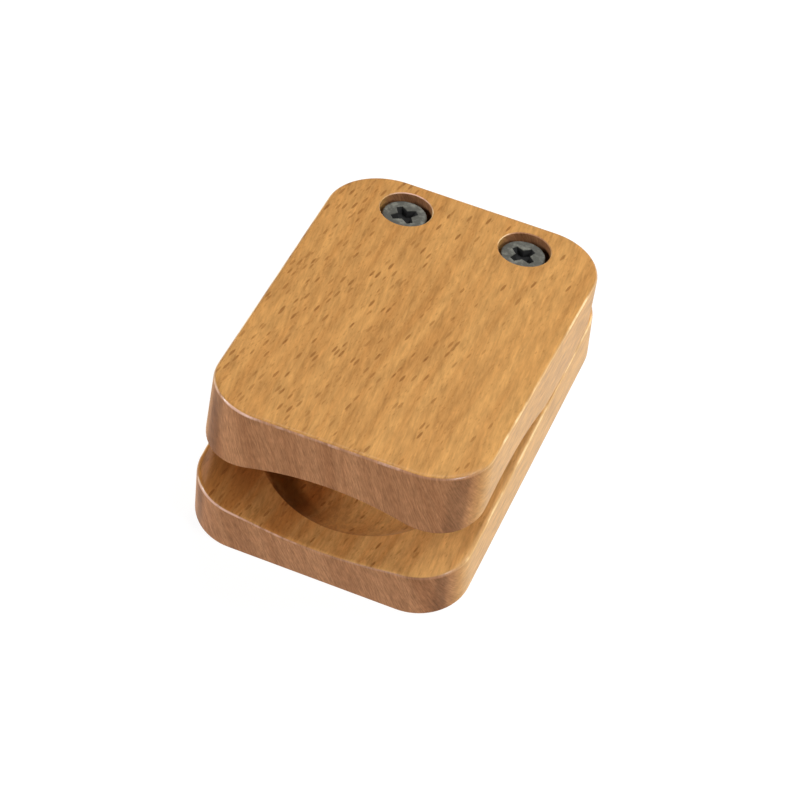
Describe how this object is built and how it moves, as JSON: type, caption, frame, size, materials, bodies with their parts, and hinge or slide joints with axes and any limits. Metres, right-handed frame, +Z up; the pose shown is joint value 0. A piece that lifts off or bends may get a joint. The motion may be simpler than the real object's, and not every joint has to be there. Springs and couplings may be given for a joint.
{
  "type": "finger castanet",
  "caption": "Wooden finger castanet: a hollowed top plate rocks on a dished base plate, held open by springs under the screw heads, and claps shut when squeezed.",
  "frame": {"origin": "middle of the base plate's underside", "axes": "+Z up through both plates, +Y to the screwed rear end, the mouth opens towards -Y, +X to the right seen from the mouth"},
  "size_m": [0.0509, 0.0757, 0.0335],
  "materials": {
    "base_wood": "beech with ray flecks, satin clear lacquer",
    "top_wood": "beech with ray flecks, satin clear lacquer",
    "black_screw": "black phosphate",
    "spring_steel": "drawn spring wire",
    "washer_steel": "zinc plated"
  },
  "bodies": {
    "base": {"base_plate": "base_wood", "left_screw": "black_screw", "right_screw": "black_screw", "left_spring": "spring_steel", "right_spring": "spring_steel"},
    "clapper": {"top_plate": "top_wood", "left_seat_washer": "washer_steel", "right_seat_washer": "washer_steel"}
  },
  "joints": [
    {"name": "clap", "type": "hinge", "parent": "base", "child": "clapper", "pos_m": [0, 0.015, 0.0154], "axis": [0.9998, 0.0175, 0], "range_deg": [0, 12], "stiffness_Nm_per_rad": 0.5, "springref_deg": -6.88, "deforming": ["left_spring", "right_spring"]}
  ]
}
